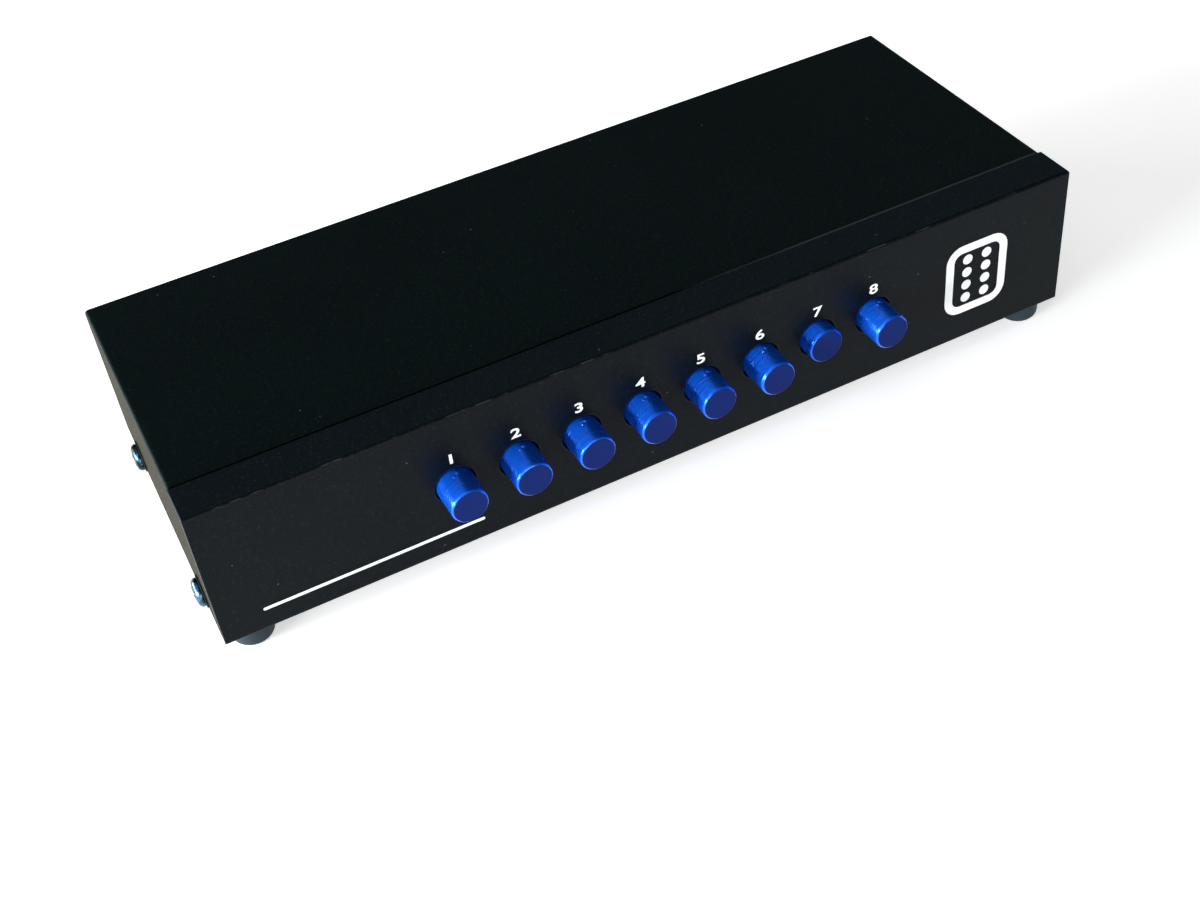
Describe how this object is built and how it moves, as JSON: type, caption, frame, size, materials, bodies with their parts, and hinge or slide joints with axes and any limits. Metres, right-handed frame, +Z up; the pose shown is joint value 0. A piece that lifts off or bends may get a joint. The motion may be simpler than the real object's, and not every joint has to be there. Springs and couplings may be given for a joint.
{
  "type": "audio video selector switch",
  "caption": "Push-button audio and video selector box in a folded steel case: latching buttons in a row on the front, coaxial jacks in rows on the back, rubber feet below.",
  "frame": {"origin": "on the ground under the middle of the whole box: buttons, case and jacks included", "axes": "+X to the right seen from the front and along the row of buttons, +Y from the front panel to the jacks, +Z up"},
  "size_m": [0.2222, 0.1062, 0.0426],
  "materials": {
    "powder_coat_black": "fine-grained satin black powder coat on folded steel",
    "screw_black": "blackened steel, satin",
    "foot_rubber": "matt black moulded rubber",
    "screw_zinc": "bright zinc plate",
    "standoff_brass": "turned brass",
    "board_laminate": "green solder mask on glass laminate",
    "switch_black": "moulded black plastic",
    "tinned_metal": "tinned",
    "zinc_plate": "zinc-plated steel strip",
    "spring_steel": "bright spring wire",
    "barrel_nickel": "bright nickel plate",
    "insert_yellow": "moulded yellow plastic, semi-gloss",
    "insert_white": "moulded white plastic, semi-gloss",
    "insert_red": "moulded red plastic, semi-gloss",
    "contact_brass": "formed brass",
    "screw_yellow_zinc": "pale yellow zinc plate",
    "cap_blue": "moulded deep blue plastic, satin gloss",
    "plunger_white": "natural acetal",
    "jack_black": "moulded black plastic"
  },
  "bodies": {
    "case": {"bank_frame": "zinc_plate", "board_screws": "screw_zinc", "chassis": "powder_coat_black", "cover": "powder_coat_black", "foot_front_left": "foot_rubber", "foot_front_right": "foot_rubber", "foot_rear_left": "foot_rubber", "foot_rear_right": "foot_rubber", "foot_screws": "screw_zinc", "input_jack_barrels": "barrel_nickel", "input_jack_block_12": "jack_black", "input_jack_block_34": "jack_black", "input_jack_block_56": "jack_black", "input_jack_block_78": "jack_black", "jack_contacts": "contact_brass", "jack_screws": "screw_yellow_zinc", "latch_bar_spring": "spring_steel", "left_jack_inserts": "insert_white", "main_board": "board_laminate", "output_jack_barrels": "barrel_nickel", "output_jack_block": "jack_black", "return_spring_1": "spring_steel", "return_spring_2": "spring_steel", "return_spring_3": "spring_steel", "return_spring_4": "spring_steel", "return_spring_5": "spring_steel", "return_spring_6": "spring_steel", "return_spring_7": "spring_steel", "return_spring_8": "spring_steel", "right_jack_inserts": "insert_red", "side_screws": "screw_black", "standoffs": "standoff_brass", "switch_bodies": "switch_black", "switch_terminals": "tinned_metal", "video_jack_inserts": "insert_yellow"},
    "button_1": {"button_cap_1": "cap_blue", "plunger_1": "plunger_white", "moving_contacts_1": "contact_brass"},
    "button_2": {"button_cap_2": "cap_blue", "plunger_2": "plunger_white", "moving_contacts_2": "contact_brass"},
    "button_3": {"button_cap_3": "cap_blue", "plunger_3": "plunger_white", "moving_contacts_3": "contact_brass"},
    "button_4": {"button_cap_4": "cap_blue", "plunger_4": "plunger_white", "moving_contacts_4": "contact_brass"},
    "button_5": {"button_cap_5": "cap_blue", "plunger_5": "plunger_white", "moving_contacts_5": "contact_brass"},
    "button_6": {"button_cap_6": "cap_blue", "plunger_6": "plunger_white", "moving_contacts_6": "contact_brass"},
    "button_7": {"button_cap_7": "cap_blue", "plunger_7": "plunger_white", "moving_contacts_7": "contact_brass"},
    "button_8": {"button_cap_8": "cap_blue", "plunger_8": "plunger_white", "moving_contacts_8": "contact_brass"},
    "latch_bar": {"latch_bar": "zinc_plate"}
  },
  "joints": [
    {"name": "button_1_press", "type": "slide", "parent": "case", "child": "button_1", "axis": [0, 1, 0], "range_m": [0, 0.0046], "stiffness_N_per_m": 300, "deforming": ["return_spring_1"]},
    {"name": "button_2_press", "type": "slide", "parent": "case", "child": "button_2", "axis": [0, 1, 0], "range_m": [0, 0.0046], "stiffness_N_per_m": 300, "deforming": ["return_spring_2"]},
    {"name": "button_3_press", "type": "slide", "parent": "case", "child": "button_3", "axis": [0, 1, 0], "range_m": [0, 0.0046], "stiffness_N_per_m": 300, "deforming": ["return_spring_3"]},
    {"name": "button_4_press", "type": "slide", "parent": "case", "child": "button_4", "axis": [0, 1, 0], "range_m": [0, 0.0046], "stiffness_N_per_m": 300, "deforming": ["return_spring_4"]},
    {"name": "button_5_press", "type": "slide", "parent": "case", "child": "button_5", "axis": [0, 1, 0], "range_m": [0, 0.0046], "stiffness_N_per_m": 300, "deforming": ["return_spring_5"]},
    {"name": "button_6_press", "type": "slide", "parent": "case", "child": "button_6", "axis": [0, 1, 0], "range_m": [0, 0.0046], "stiffness_N_per_m": 300, "deforming": ["return_spring_6"]},
    {"name": "button_7_press", "type": "slide", "parent": "case", "child": "button_7", "axis": [0, 1, 0], "range_m": [-0.004, 0.0006], "deforming": ["return_spring_7"]},
    {"name": "button_8_press", "type": "slide", "parent": "case", "child": "button_8", "axis": [0, 1, 0], "range_m": [0, 0.0046], "stiffness_N_per_m": 300, "deforming": ["return_spring_8"]},
    {"name": "latch_bar_slide", "type": "slide", "parent": "case", "child": "latch_bar", "axis": [-1, 0, 0], "range_m": [0, 0.0012], "stiffness_N_per_m": 400, "deforming": ["latch_bar_spring"]}
  ]
}
